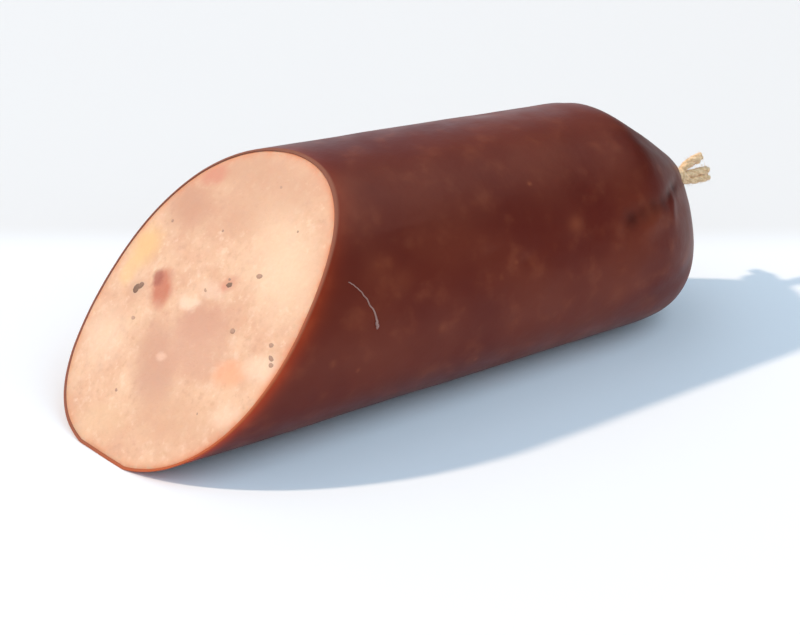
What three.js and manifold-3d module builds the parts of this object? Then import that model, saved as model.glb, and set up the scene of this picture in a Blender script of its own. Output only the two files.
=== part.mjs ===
// Tied end of a smoked, cured emulsion sausage, sliced off on the slant.
//
// It lies on its side. X runs along the sausage from the sliced face to the tied end, Z is up, and
// the underside rests on z = 0. Three pieces are built: the set meat filling, the smoked casing that
// wraps it and is gathered into a neck, and the doubled twine tied round that neck.
// All lengths are in millimetres, and section angles turn from +Y towards +Z.

import * as THREE from 'three';
import { mergeVertices } from 'three/addons/utils/BufferGeometryUtils.js';
import Module from 'manifold-3d';

// ---- Barrel ----
const RADIUS = 35;
// The stuffed section isn't quite round: each lobe is [waves round the section, cosine, sine].
const LOBES = [
  [2, 0, 1.9],
  [3, 0, -0.5],
  [4, -0.6, 0.5],
];
const AXIS_HEIGHT = 33.3;
const TAPER = 0.039;
const TAPER_LENGTH = 120;
const BLANK_START = -48;

// ---- Underside ----
// It is built to stand on three places, so that a firm body doesn't rock: the two ends of its far
// side, and a flat at mid length on its near side. The far side is a hair hollow between its ends.
const REST_HALF_WIDTH = 5.4;
const REST_FLAT = [66, 86];
const REST_LIFT = 0.012;
const REST_HOLLOW = 0.02;

// ---- Slanted slice: the plane through the barrel's axis at x = 0 ----
const SLICE_PER_Y = -0.286;
const SLICE_PER_Z = 0.933;
const KNIFE_SIZE = 240;

// ---- Rounded end, drawn from the shoulder ring to the pole where the casing is gathered ----
const SHOULDER_X = 124.2;
const SHOULDER_SLANT = 4;
const POLE = new THREE.Vector3(166.5, 5, 34.9);
const END_TAPERING = 1.35;
const END_BLUNTNESS = 1.38;
const END_BLUNTNESS_SLANT = 0.94;
const PUCKER_DEPTH = 10.5;
const PUCKER_RADIUS = 8.8;

// ---- Gathered neck and the trimmed casing beyond the tie ----
const NECK_RADIUS = 2.6;
const NECK_SPAN = [158.5, 165.3];
const CASING_TAIL = [
  { centre: new THREE.Vector3(167.1, 6.4, 34.0), radius: 2.9 },
  { centre: new THREE.Vector3(168.8, 8.6, 32.7), radius: 3.6 },
];

// ---- Layers ----
const CASING_WALL = 0.6;
const LAYER_GAP = 0.3;

// ---- Twine ----
const TWINE_RADIUS = 1.25;
const TWINE_TURNS = 2;
const WINDING_START_X = 160.1;
const KNOT = new THREE.Vector3(164.6, 0.6, 36.4);
const KNOT_HALF_SIZE = new THREE.Vector3(2.1, 1.7, 1.9);
// Each cut end runs from inside the knot to its tip, in steps from the knot's middle.
const TWINE_ENDS = [
  { from: [0, 0.3, 1.0], bow: [3.2, 0, 4.1], tip: [7.9, -0.4, 5.8] },
  { from: [0.6, 0.8, 0.6], bow: [5.6, 1.6, 1.3], tip: [10.2, 1.6, 1.7] },
  { from: [0.3, -0.5, 0], bow: [5.2, -0.9, 0.2], tip: [11.1, -1.1, -0.4] },
  { from: [0.3, -0.4, -1.2], bow: [5.4, -0.9, -3.4], tip: [11.7, -1.1, -5.0] },
];

// ---- Fineness of the facets ----
const SECTION_STEPS = 40;
const END_STEPS = 18;
const END_CROWDING = 1.5;
const TWINE_SIDES = 8;
const WINDING_STEPS = 20;

const wasm = await Module();
wasm.setup();

/** Radius of the stuffed section at an angle, for a layer that lies `inset` below the surface. */
function sectionRadius(angle, inset) {
  let radius = RADIUS - inset;
  for (const [waves, cosine, sine] of LOBES) {
    radius += cosine * Math.cos(waves * angle) + sine * Math.sin(waves * angle);
  }
  return radius;
}

/** Height of the underside above the surface that it rests on. */
function restHeight(x, y) {
  const [start, end] = REST_FLAT;
  const beyond = Math.max(start - x, x - end, 0);
  const far = THREE.MathUtils.clamp(y / REST_HALF_WIDTH, -1, 1);
  const hollow = beyond > 0 ? 0 : REST_HOLLOW * Math.max(far, 0);
  return REST_LIFT * beyond * (1 - far) / 2 + hollow;
}

/** A point of the barrel. It narrows towards the tied end about the line that it rests on. */
function barrelPoint(x, angle, inset) {
  const radius = sectionRadius(angle, inset);
  const narrowing = 1 - TAPER * (x / TAPER_LENGTH);
  const y = radius * Math.cos(angle) * narrowing;
  const z = (AXIS_HEIGHT + radius * Math.sin(angle)) * narrowing;
  return new THREE.Vector3(x, y, Math.max(z, inset + restHeight(x, y)));
}

/** How far a layer is drawn back round the neck, at a distance from the pole's axis. */
function puckerDepth(distance, inset) {
  const flank = THREE.MathUtils.smoothstep(distance - inset, NECK_RADIUS, PUCKER_RADIUS);
  return PUCKER_DEPTH * (1 - flank);
}

/** A point of the rounded end: turn 0 is the shoulder, a quarter turn is the pole. */
function endPoint(turn, angle, inset) {
  const shoulder = SHOULDER_X + SHOULDER_SLANT * Math.sin(angle);
  const rim = barrelPoint(shoulder, angle, inset);
  const bluntness = END_BLUNTNESS + END_BLUNTNESS_SLANT * Math.sin(angle);
  const inward = Math.pow(Math.cos(turn), END_TAPERING);
  const along = Math.pow(Math.sin(turn), bluntness);
  const y = POLE.y + (rim.y - POLE.y) * inward;
  const z = POLE.z + (rim.z - POLE.z) * inward;
  const x = shoulder + (POLE.x - inset - shoulder) * along;
  const drawn = puckerDepth(Math.hypot(y - POLE.y, z - POLE.z), inset);
  return new THREE.Vector3(x - drawn, y, z);
}

/** A ring of points, one for each step round the section. */
function ring(pointAt) {
  const points = [];
  for (let step = 0; step < SECTION_STEPS; step += 1) {
    points.push(pointAt((2 * Math.PI * step) / SECTION_STEPS));
  }
  return points;
}

/** The rings of barrel and rounded end for one layer, ending at the turn `lastTurn`. */
function bodyRings(inset, lastTurn) {
  const rings = [];
  for (const x of [BLANK_START, ...REST_FLAT]) {
    rings.push(ring((angle) => barrelPoint(x, angle, inset)));
  }
  for (let step = 0; step <= END_STEPS; step += 1) {
    const turn = lastTurn * (step / END_STEPS) ** END_CROWDING;
    rings.push(ring((angle) => endPoint(turn, angle, inset)));
  }
  return rings;
}

/** A round ring square to X. */
function roundRing(centre, radius) {
  return ring((angle) => new THREE.Vector3(
    centre.x,
    centre.y + radius * Math.cos(angle),
    centre.z + radius * Math.sin(angle),
  ));
}

/** The closed surface through a row of rings, with a fan over its first and last ring. */
function loft(rings) {
  const middle = (points) => points
    .reduce((sum, point) => sum.add(point), new THREE.Vector3())
    .divideScalar(points.length);
  const points = [...rings.flat(), middle(rings[0]), middle(rings.at(-1))];
  const at = (row, step) => row * SECTION_STEPS + (step % SECTION_STEPS);
  const last = rings.length - 1;
  const faces = [];
  for (let step = 0; step < SECTION_STEPS; step += 1) {
    for (let row = 0; row < last; row += 1) {
      faces.push(at(row, step), at(row, step + 1), at(row + 1, step));
      faces.push(at(row, step + 1), at(row + 1, step + 1), at(row + 1, step));
    }
    faces.push(points.length - 2, at(0, step + 1), at(0, step));
    faces.push(points.length - 1, at(last, step), at(last, step + 1));
  }
  const geometry = new THREE.BufferGeometry().setFromPoints(points);
  geometry.setIndex(faces);
  return geometry;
}

/** A closed three.js geometry as a solid that can be joined and cut. */
function solid(geometry) {
  const bare = geometry.clone();
  bare.deleteAttribute('normal');
  bare.deleteAttribute('uv');
  const merged = mergeVertices(bare, 1e-4);
  return new wasm.Manifold(new wasm.Mesh({
    numProp: 3,
    vertProperties: new Float32Array(merged.attributes.position.array),
    triVerts: new Uint32Array(merged.index.array),
  }));
}

/** A named mesh of a joined or cut solid, with its own material. */
function piece(name, shape, color, roughness) {
  const mesh = shape.getMesh();
  const geometry = new THREE.BufferGeometry();
  geometry.setAttribute('position', new THREE.BufferAttribute(mesh.vertProperties, 3));
  geometry.setIndex(new THREE.BufferAttribute(mesh.triVerts, 1));
  geometry.computeVertexNormals();
  const material = new THREE.MeshStandardMaterial({ color, roughness, metalness: 0 });
  const result = new THREE.Mesh(geometry, material);
  result.name = name;
  return result;
}

/** Everything on the far side of the slanted slice, which the knife takes away. */
function knife() {
  const outward = new THREE.Vector3(-1, SLICE_PER_Y, SLICE_PER_Z).normalize();
  const turn = new THREE.Quaternion().setFromUnitVectors(new THREE.Vector3(0, 0, 1), outward);
  const middle = new THREE.Vector3(0, 0, AXIS_HEIGHT).addScaledVector(outward, KNIFE_SIZE / 2);
  const block = new THREE.BoxGeometry(KNIFE_SIZE, KNIFE_SIZE, KNIFE_SIZE);
  block.applyMatrix4(new THREE.Matrix4().compose(middle, turn, new THREE.Vector3(1, 1, 1)));
  return solid(block);
}

/** The turn at which the rounded end has closed in to the neck's radius. */
function neckTurn() {
  const rim = barrelPoint(SHOULDER_X, 0, 0);
  return Math.acos(Math.pow(NECK_RADIUS / (rim.y - POLE.y), 1 / END_TAPERING));
}

/** The whole outside of the casing: barrel, rounded end, gathered neck and trimmed tail. */
function casingOutside() {
  const rings = bodyRings(0, neckTurn());
  for (const x of NECK_SPAN) {
    rings.push(roundRing(new THREE.Vector3(x, POLE.y, POLE.z), NECK_RADIUS));
  }
  for (const { centre, radius } of CASING_TAIL) {
    rings.push(roundRing(centre, radius));
  }
  return solid(loft(rings));
}

/** A layer under the casing's surface: the room inside the casing, or the meat that fills it. */
function insideBody(inset) {
  return solid(loft(bodyRings(inset, neckTurn())));
}

/** The wound turns round the neck, as one ring with a ridge for each turn. */
function winding() {
  const inner = NECK_RADIUS + LAYER_GAP;
  const profile = [new THREE.Vector2(inner, 0)];
  for (let turn = 0; turn < TWINE_TURNS; turn += 1) {
    const along = (2 * turn + 1) * TWINE_RADIUS;
    for (const angle of [-60, -30, 0, 30, 60]) {
      const radians = THREE.MathUtils.degToRad(angle);
      profile.push(new THREE.Vector2(
        inner + TWINE_RADIUS * (1 + Math.cos(radians)),
        along + TWINE_RADIUS * Math.sin(radians),
      ));
    }
  }
  profile.push(new THREE.Vector2(inner, 2 * TWINE_TURNS * TWINE_RADIUS));
  profile.push(profile[0].clone());
  const geometry = new THREE.LatheGeometry(profile, WINDING_STEPS);
  geometry.rotateZ(-Math.PI / 2);
  geometry.translate(WINDING_START_X, POLE.y, POLE.z);
  return solid(geometry);
}

/** One cut end of the twine, from inside the knot to its square tip. */
function twineEnd({ from, bow, tip }) {
  const path = new THREE.CatmullRomCurve3(
    [from, bow, tip].map((step) => new THREE.Vector3(...step).add(KNOT)),
  );
  const section = new THREE.Shape();
  section.absarc(0, 0, TWINE_RADIUS, 0, 2 * Math.PI);
  return solid(new THREE.ExtrudeGeometry(section, {
    steps: 6,
    curveSegments: TWINE_SIDES / 2,
    extrudePath: path,
  }));
}

/** The doubled twine: turns round the neck, the knot on its upper front and four cut ends. */
function twineTie() {
  const lump = new THREE.SphereGeometry(1, 14, 10);
  lump.scale(...KNOT_HALF_SIZE);
  lump.translate(...KNOT);
  return TWINE_ENDS.reduce((tie, end) => tie.add(twineEnd(end)), winding().add(solid(lump)));
}

const slice = knife();
const casingShape = casingOutside()
  .subtract(insideBody(CASING_WALL))
  .subtract(slice);
const meatShape = insideBody(CASING_WALL + LAYER_GAP).subtract(slice);

const sausage = new THREE.Group();
sausage.add(piece('meat_filling', meatShape, 0xe8b79a, 0.55));
sausage.add(piece('casing', casingShape, 0x5e261b, 0.3));
sausage.add(piece('twine_tie', twineTie(), 0xcfae78, 0.9));

// The origin is the middle of the underside of the whole sausage.
const box = new THREE.Box3().setFromObject(sausage);
const middle = box.getCenter(new THREE.Vector3());
sausage.position.set(-middle.x, -middle.y, -box.min.z);

export default sausage;
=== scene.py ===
# %% [markdown]
# # A smoked sausage, sliced on the slant
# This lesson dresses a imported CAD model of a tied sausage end. The CAD holds three plain solids: the
# meat filling, the casing and the twine tie. Here each one is replaced by a finely modelled piece of
# about the same size, with a finish made from shader nodes. Every length below is written in
# millimetres and turned into Blender's metres by one factor, `MM`.

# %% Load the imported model
import math

import bpy
import numpy as np
from mathutils import Matrix, Vector, noise


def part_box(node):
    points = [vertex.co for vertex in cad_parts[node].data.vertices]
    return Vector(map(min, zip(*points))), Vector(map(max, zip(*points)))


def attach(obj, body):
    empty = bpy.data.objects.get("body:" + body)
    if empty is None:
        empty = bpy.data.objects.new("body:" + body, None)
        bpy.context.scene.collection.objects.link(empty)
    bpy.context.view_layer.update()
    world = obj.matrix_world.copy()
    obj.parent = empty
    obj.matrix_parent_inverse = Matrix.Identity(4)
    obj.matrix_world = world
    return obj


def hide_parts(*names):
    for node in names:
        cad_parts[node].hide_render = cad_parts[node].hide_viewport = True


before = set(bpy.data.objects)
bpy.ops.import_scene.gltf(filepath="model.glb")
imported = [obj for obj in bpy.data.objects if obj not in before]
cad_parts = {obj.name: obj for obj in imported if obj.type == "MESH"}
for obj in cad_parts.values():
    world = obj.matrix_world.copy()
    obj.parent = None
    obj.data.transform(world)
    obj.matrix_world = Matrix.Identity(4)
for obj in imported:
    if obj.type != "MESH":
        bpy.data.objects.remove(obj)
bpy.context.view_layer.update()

MM = 0.001

# %% [markdown]
# ## The shape as a rule
# A stuffed barrel is almost a cylinder. Its section has a few slow lobes, it narrows a little towards
# the tied end, and its underside has settled flat on the board. The rounded end runs from a slanted
# shoulder ring in to a pole, where the casing is drawn back into a pucker round the neck. These are
# the CAD's formulas, written for whole arrays of angles at once. Two things differ from the CAD. The
# underside is one even flat strip, where the CAD's solid stands on three places. The end is a little
# fuller low at the front and clearly leaner on the far side, so the two powers that shape it change
# with the angle: `leaning` gives such a number from its mean and its change towards +Y and +Z. The
# far side follows from that rule and is a guess.
# Angles turn from +Y, which is the far side, over the top (+Z) to the front side, -Y.

# %% Sizes shared with the CAD
RADIUS = 35.0
LOBES = ((2, 0.0, 1.9), (3, 0.0, -0.5), (4, -0.6, 0.5))
AXIS_HEIGHT = 33.3
TAPER = 0.039 / 120
SLICE_PER_Y = -0.286
SLICE_PER_Z = 0.933
SHOULDER_X = 124.2
SHOULDER_SLANT = 4.0
POLE = np.array((166.5, 5.0, 34.9))
END_TAPERING = (2.05, 0.32, -0.57)
END_BLUNTNESS = (1.44, 0.4, 0.946)
PUCKER_DEPTH = 10.5
PUCKER_RADIUS = 8.8
NECK_RADIUS = 2.6
CASING_WALL = 0.6


def smoothstep(low, high, value):
    """0 below low, 1 above high, and a soft ramp between them."""
    t = np.clip((value - low) / (high - low), 0, 1)
    return t * t * (3 - 2 * t)


def section_radius(angle):
    """Radius of the stuffed section at an angle."""
    radius = RADIUS + 0 * angle
    for waves, cosine, sine in LOBES:
        radius = radius + cosine * np.cos(waves * angle) + sine * np.sin(waves * angle)
    return radius


def barrel_point(x, angle):
    """Points of the barrel, for arrays of x and angle."""
    narrowing = 1 - TAPER * x
    radius = section_radius(angle)
    y = radius * np.cos(angle) * narrowing
    z = (AXIS_HEIGHT + radius * np.sin(angle)) * narrowing
    return np.stack([x + 0 * angle, y, np.maximum(z, 0)], -1)


def slice_x(y, z):
    """The x of the slanted slice at a point of the section."""
    return SLICE_PER_Y * y + SLICE_PER_Z * (z - AXIS_HEIGHT)


def leaning(numbers, angle):
    """A number that changes with the angle: its mean, and its change towards +Y and +Z."""
    mean, towards_y, towards_z = numbers
    return mean + towards_y * np.cos(angle) + towards_z * np.sin(angle)


def end_point(turn, angle):
    """Points of the rounded end: turn 0 is the shoulder, and a quarter turn is the pole."""
    shoulder = SHOULDER_X + SHOULDER_SLANT * np.sin(angle)
    rim = barrel_point(shoulder, angle)
    inward = np.cos(turn) ** leaning(END_TAPERING, angle)
    along = np.sin(turn) ** leaning(END_BLUNTNESS, angle)
    y = POLE[1] + (rim[..., 1] - POLE[1]) * inward
    z = POLE[2] + (rim[..., 2] - POLE[2]) * inward
    pucker = 1 - smoothstep(NECK_RADIUS, PUCKER_RADIUS, np.hypot(y - POLE[1], z - POLE[2]))
    x = shoulder + (POLE[0] - shoulder) * along - PUCKER_DEPTH * pucker
    return np.stack([x, y, z], -1)


radii = section_radius(np.linspace(0, 2 * np.pi, 360))
print("Section radius, mm:", radii.min().round(1), "to", radii.max().round(1))


# %% [markdown]
# The formulas count x from the middle of the slice, and the CAD's origin is the middle of its box.
# The lowest lip of the slice is the CAD box's lowest x, which gives the shift from one to the other.

# %% Where the formulas sit in the CAD's frame
COLUMNS = 270
angles = np.arange(COLUMNS) * 2 * np.pi / COLUMNS


def slice_rim(angle):
    """Barrel points that lie on the slice, found by a few rounds of going there and looking again."""
    point = barrel_point(0 * angle, angle)
    for _ in range(8):
        point = barrel_point(slice_x(point[:, 1], point[:, 2]), angle)
    return point


casing_low, casing_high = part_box("casing")
shift = np.array((
    casing_low.x / MM - slice_rim(angles)[:, 0].min(),
    (casing_low.y + casing_high.y) / 2 / MM,
    0.0,
))
print("Slice centre in the CAD frame, mm:", np.round(shift, 2))


def to_frame(points):
    """Millimetres counted from the slice's middle, as metres in the CAD frame."""
    return (np.asarray(points, float) + shift) * MM


# %% [markdown]
# ## Camera
# The camera looks down on the sausage from the front left, with the slice towards it. It is placed
# in the same millimetre space as the formulas. Its turn and tilt are angles, and the lens is given
# as the distance, in image widths, at which one image width fills the view.

# %% Camera
CAMERA_PLACE = (-99.1, -259.4, 166.1)
CAMERA_TURN = 31.59
CAMERA_TILT = 26.54
LENS_IN_WIDTHS = 1.5

camera = bpy.data.objects.new("camera", bpy.data.cameras.new("camera"))
camera.location = to_frame(CAMERA_PLACE)
camera.rotation_euler = (math.radians(90 - CAMERA_TILT), 0, math.radians(-CAMERA_TURN))
camera.data.sensor_width = 36
camera.data.lens = 36 * LENS_IN_WIDTHS
camera.data.clip_start = 0.01
bpy.context.scene.collection.objects.link(camera)
bpy.context.scene.camera = camera
print("Lens:", round(camera.data.lens, 1), "mm on a 36 mm sensor")

# %% [markdown]
# ## Helpers for nodes and meshes
# Materials and Geometry Nodes trees are both made of nodes, so one helper adds a node, sets its
# options and fills its inputs. An input can be a plain value or another node's output.

# %% Node and mesh helpers


def wire(tree, kind, inputs=None, **options):
    """Add a node, set its options, then fill its inputs by name or by number."""
    node = tree.nodes.new(kind)
    for option, value in options.items():
        setattr(node, option, value)
    for key, value in (inputs or {}).items():
        socket = node.inputs[key]
        if isinstance(value, bpy.types.NodeSocket):
            tree.links.new(value, socket)
        else:
            socket.default_value = value
    return node


def blend_colour(tree, factor, first, second, blend_type="MIX"):
    """A colour mix. A fourth number of 1 is added to plain colours."""
    first, second = (c if isinstance(c, bpy.types.NodeSocket) else (*c, 1.0) for c in (first, second))
    mix = wire(tree, "ShaderNodeMix", data_type="RGBA", blend_type=blend_type)
    for key, value in ((0, factor), (6, first), (7, second)):
        if isinstance(value, bpy.types.NodeSocket):
            tree.links.new(value, mix.inputs[key])
        else:
            mix.inputs[key].default_value = value
    return mix.outputs[2]


def arithmetic(tree, operation, first, second=0.0, clamp=False):
    """One Math node."""
    return wire(tree, "ShaderNodeMath", {0: first, 1: second}, operation=operation,
                use_clamp=clamp).outputs[0]


def scaled(tree, vector, amount):
    """A vector times a number."""
    return wire(tree, "ShaderNodeVectorMath", {0: vector, "Scale": amount}, operation="SCALE").outputs[0]


def ramp_between(tree, value, low, high, smooth=True):
    """Map low..high to 0..1, held at both ends."""
    kind = "SMOOTHSTEP" if smooth else "LINEAR"
    node = wire(tree, "ShaderNodeMapRange", {0: value, 1: low, 2: high}, interpolation_type=kind)
    return node.outputs[0]


def mottling(tree, place, scale, detail=3.0, roughness=0.55, distortion=0.0):
    """The value of a Noise Texture, around 0.5."""
    return wire(tree, "ShaderNodeTexNoise", {
        "Vector": place, "Scale": scale, "Detail": detail,
        "Roughness": roughness, "Distortion": distortion,
    }).outputs[0]


def attribute(tree, name):
    """A number stored on the mesh."""
    return wire(tree, "ShaderNodeAttribute", attribute_name=name).outputs["Fac"]


def new_material(name):
    """An empty material with its Principled shader. Returns the material, its tree and the shader."""
    material = bpy.data.materials.new(name)
    material.use_nodes = True
    tree = material.node_tree
    return material, tree, tree.nodes["Principled BSDF"]


def grid_faces(rows, columns, first=0, flip=False):
    """Quads between neighbouring rings of points, closed round the ring."""
    row, column = np.meshgrid(np.arange(rows - 1), np.arange(columns), indexing="ij")
    beside = (column + 1) % columns
    quads = np.stack([
        row * columns + column, row * columns + beside,
        (row + 1) * columns + beside, (row + 1) * columns + column,
    ], -1).reshape(-1, 4) + first
    return quads[:, ::-1] if flip else quads


def fan_faces(ring, centre, flip=False):
    """Triangles from a ring of point numbers to one middle point."""
    nexts = np.roll(ring, -1)
    fan = np.stack([ring, nexts, np.full(len(ring), centre)], -1)
    return fan[:, ::-1] if flip else fan


def mesh_piece(name, points, faces, material, numbers=None):
    """A smooth-shaded mesh object from millimetre points, with named numbers on its points."""
    mesh = bpy.data.meshes.new(name)
    mesh.from_pydata(to_frame(points).tolist(), [], [list(map(int, face)) for face in faces])
    mesh.materials.append(material)
    for label, values in (numbers or {}).items():
        store = mesh.attributes.new(label, "FLOAT", "POINT")
        store.data.foreach_set("value", np.asarray(values, np.float32).ravel())
    mesh.polygons.foreach_set("use_smooth", [True] * len(mesh.polygons))
    mesh.update()
    piece = bpy.data.objects.new(name, mesh)
    bpy.context.scene.collection.objects.link(piece)
    return piece


def smooth_noise(points, size, seed):
    """Soft noise from -1 to 1 whose lumps are about `size` mm across."""
    offset = Vector((17.3 * seed, -9.1 * seed, 5.7 * seed))
    flat = np.asarray(points).reshape(-1, 3) / size
    values = [noise.noise(Vector(p) + offset) for p in flat]
    return np.array(values).reshape(np.shape(points)[:-1])


# %% [markdown]
# ## The casing's surface
# The outside is one grid of rings that runs from the slice, along the barrel, over the rounded end
# and down into the pucker. Each lengthwise line of the grid is drawn finely with the formulas, then
# re-spaced so that its points lie at even steps of length. That keeps the quads alike everywhere.

# %% Rings of the bare surface
ROWS = 250
# Barrel and end are blended over this many rings. The blending grows between the two places along x,
# and it stops between the two distances from the neck.
BLENDED_RINGS = 6
BLENDING_GROWS = (98, 114)
BLENDING_STOPS = (11, 17)
shoulder_x = SHOULDER_X + SHOULDER_SLANT * np.sin(angles)
shoulder_reach = np.linalg.norm((barrel_point(shoulder_x, angles) - POLE)[:, 1:], axis=1)
neck_turn = np.arccos((NECK_RADIUS / shoulder_reach) ** (1 / leaning(END_TAPERING, angles)))


def fine_lines():
    """Barrel and rounded end as closely spaced rings, and the ring number of the shoulder."""
    rim_x = slice_rim(angles)[:, 0]
    steps = np.linspace(0, 1, 240, endpoint=False)
    barrel = [barrel_point(rim_x + (shoulder_x - rim_x) * t, angles) for t in steps]
    shares = np.linspace(0, 1, 500) ** 1.6
    return np.array(barrel + [end_point(neck_turn * share, angles) for share in shares]), len(barrel)


def length_along(rows):
    """Distance from the first ring, measured along each lengthwise line."""
    steps = np.linalg.norm(np.diff(rows, axis=0), axis=-1)
    return np.concatenate([np.zeros((1, rows.shape[1])), steps.cumsum(0)])


def respaced(rows, count):
    """The same lengthwise lines with evenly spaced points."""
    lengths = length_along(rows)
    result = np.empty((count, rows.shape[1], 3))
    for column in range(rows.shape[1]):
        places = np.linspace(0, lengths[-1, column], count)
        for axis in range(3):
            result[:, column, axis] = np.interp(places, lengths[:, column], rows[:, column, axis])
    return result


def rounded_shoulder(rows, reach):
    """Average each point with its neighbours along the line where barrel and end meet."""
    weights = np.exp(-0.5 * (np.arange(-3 * reach, 3 * reach + 1) / reach) ** 2)
    weights /= weights.sum()
    padded = np.concatenate([rows[:1]] * (3 * reach) + [rows] + [rows[-1:]] * (3 * reach))
    average = sum(w * padded[i:i + len(rows)] for i, w in enumerate(weights))
    to_neck = np.hypot(rows[..., 1] - POLE[1], rows[..., 2] - POLE[2])
    share = smoothstep(*BLENDING_GROWS, rows[..., 0]) * smoothstep(*BLENDING_STOPS, to_neck)
    return rows + (average - rows) * share[..., None]


fine, shoulder_row = fine_lines()
to_shoulder = length_along(fine)[shoulder_row]
skin = rounded_shoulder(respaced(fine, ROWS), BLENDED_RINGS)
along = length_along(skin)
from_shoulder = along - to_shoulder
to_neck = np.hypot(skin[..., 1] - POLE[1], skin[..., 2] - POLE[2])
print("Casing grid:", ROWS, "rings of", COLUMNS, "points")

# %% [markdown]
# ## Lumps, dimples and folds
# A hand-filled casing shows soft lumps where meat pushes against it and a few dimples over air
# pockets. Folds run out from the tie like a drawn purse: most stop at the shoulder, and one deep
# fold on the front crosses it. Each is a height added along the surface's outward normal. A fold is
# given as a path over the surface, and its height fades with the distance from that path.

# %% Fine relief of the casing
LUMPS = ((38.0, 0.34, 1), (16.0, 0.15, 2), (6.5, 0.035, 3))
# Each dimple (or bump): place along x, angle in degrees, half length, half width, height.
DIMPLES = (
    (70.1, 161, 2.6, 2.0, -0.30), (80.7, 168, 2.4, 1.8, -0.26), (45.5, 141, 8.0, 1.3, 0.10),
    (34.5, 157, 4.0, 2.8, 0.12), (98.0, 157, 3.4, 3.2, 0.12), (56.0, 196, 7.0, 4.0, -0.18),
    (104.0, 205, 6.0, 5.0, -0.16), (118.0, 186, 5.0, 4.5, 0.18), (62.0, 95, 9.0, 5.0, -0.18),
    (96.0, 72, 6.0, 4.0, -0.25), (40.0, 40, 5.0, 4.0, -0.22), (84.0, 12, 7.0, 4.5, -0.24),
    (20.0, 345, 5.0, 4.0, -0.20), (110.0, 330, 6.0, 5.0, 0.22), (55.0, 310, 8.0, 4.0, -0.18),
    (124.5, 166, 4.0, 4.0, 0.45),
)
# Each fold is a path of points: distance past the shoulder ring (before it when negative), angle in
# degrees, height (a valley when negative) and half width.
FOLDS = (
    ((26, 147, -0.2, 1.6), (16, 152, -0.50, 1.8), (6, 157, -0.22, 2.4), (-3, 158.5, -0.25, 2.6),
     (-8, 161, -0.42, 2.6), (-10, 166, -0.15, 2.6), (-13, 169, 0.0, 2.6)),
    ((16, 152, 0.0, 1.6), (13, 158, 0.30, 1.6), (11, 168, 0.25, 1.8), (9, 175, 0.0, 2.0)),
    ((30, 130, 0.0, 2.2), (17, 126, -0.10, 2.8), (6, 119, -0.15, 3.2), (-3, 117, -0.1, 3.4),
     (-9, 114, 0.0, 3.4)),
    ((24, 112, 0.0, 2.5), (12, 109, 0.12, 3.0), (2, 104, 0.12, 3.4), (-8, 100, 0.0, 3.4)),
    ((30, 198, 0.0, 2.4), (20, 200, -0.30, 2.8), (6, 203, -0.25, 3.2), (-4, 205, 0.0, 3.2)),
    ((30, 60, 0.0, 2.0), (18, 64, -0.8, 2.2), (4, 70, -0.7, 2.6), (-10, 73, 0.0, 2.6)),
    ((32, 20, 0.0, 2.0), (18, 16, -0.9, 2.2), (2, 14, -0.9, 2.6), (-16, 10, 0.0, 2.8)),
    ((30, 335, 0.0, 2.0), (16, 338, -0.8, 2.4), (2, 340, -0.6, 2.8), (-12, 343, 0.0, 2.8)),
    ((34, 292, 0.0, 2.2), (18, 296, -0.7, 2.6), (4, 298, -0.5, 3.0), (-8, 300, 0.0, 3.0)),
    ((36, 248, 0.0, 2.2), (20, 244, -0.7, 2.6), (6, 242, -0.5, 3.0), (-6, 240, 0.0, 3.0)),
)
SHORT_PLEATS = 23
PLEAT_REACH = 19.0


def angle_gap(angle, centre):
    """Signed difference of two angles, from -pi to pi."""
    return (angle - centre + np.pi) % (2 * np.pi) - np.pi


def surface_normals(rows):
    """Outward unit normals of a grid of rings."""
    forward = np.gradient(rows, axis=0)
    around = np.roll(rows, -1, 1) - np.roll(rows, 1, 1)
    normal = np.cross(around, forward)
    return normal / np.maximum(np.linalg.norm(normal, axis=-1, keepdims=True), 1e-9)


def skin_place(past_shoulder, degrees):
    """The grid point nearest to a place given as in FOLDS."""
    column = round(degrees / 360 * COLUMNS) % COLUMNS
    row = np.abs(from_shoulder[:, column] - past_shoulder).argmin()
    return skin[row, column]


def fold_height(path):
    """Height of one fold at every grid point."""
    places = np.array([skin_place(past, degrees) for past, degrees, _, _ in path])
    nearest = np.full(skin.shape[:2], np.inf)
    height = np.zeros(skin.shape[:2])
    for start, end, first, second in zip(places, places[1:], path, path[1:]):
        span = end - start
        share = np.clip((skin - start) @ span / (span @ span), 0, 1)
        distance = np.linalg.norm(skin - start - share[..., None] * span, axis=-1)
        rise = first[2] + (second[2] - first[2]) * share
        wide = first[3] + (second[3] - first[3]) * share
        closer = distance < nearest
        height = np.where(closer, rise * np.exp(-(distance / wide) ** 2), height)
        nearest = np.minimum(nearest, distance)
    return height


def pleat_height():
    """The short pleats that crowd round the neck, uneven in place, depth and reach."""
    rng = np.random.default_rng(11)
    centres = np.linspace(0, 2 * np.pi, SHORT_PLEATS, endpoint=False)
    centres = centres + rng.uniform(-0.07, 0.07, SHORT_PLEATS)
    height = np.zeros(skin.shape[:2])
    for centre in centres:
        depth = rng.uniform(0.40, 0.90)
        reach = PLEAT_REACH * rng.uniform(0.55, 1.25)
        gap = angle_gap(angles, centre)
        width = 0.075 + 0.03 * to_neck / PLEAT_REACH
        strength = smoothstep(1.5, 6.0, to_neck) * (1 - smoothstep(5.0, reach, to_neck))
        height = height - depth * strength * np.exp(-(gap / width) ** 2)
    return height


def lumps_and_dimples():
    """Slow unevenness of the filling under the casing."""
    height = sum(size * smooth_noise(skin, across, seed) for across, size, seed in LUMPS)
    for x, degrees, half_long, half_wide, rise in DIMPLES:
        arc = RADIUS * angle_gap(angles, math.radians(degrees))
        spread = ((skin[..., 0] - x) / half_long) ** 2 + (arc / half_wide) ** 2
        height = height + rise * np.exp(-spread)
    return height


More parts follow.
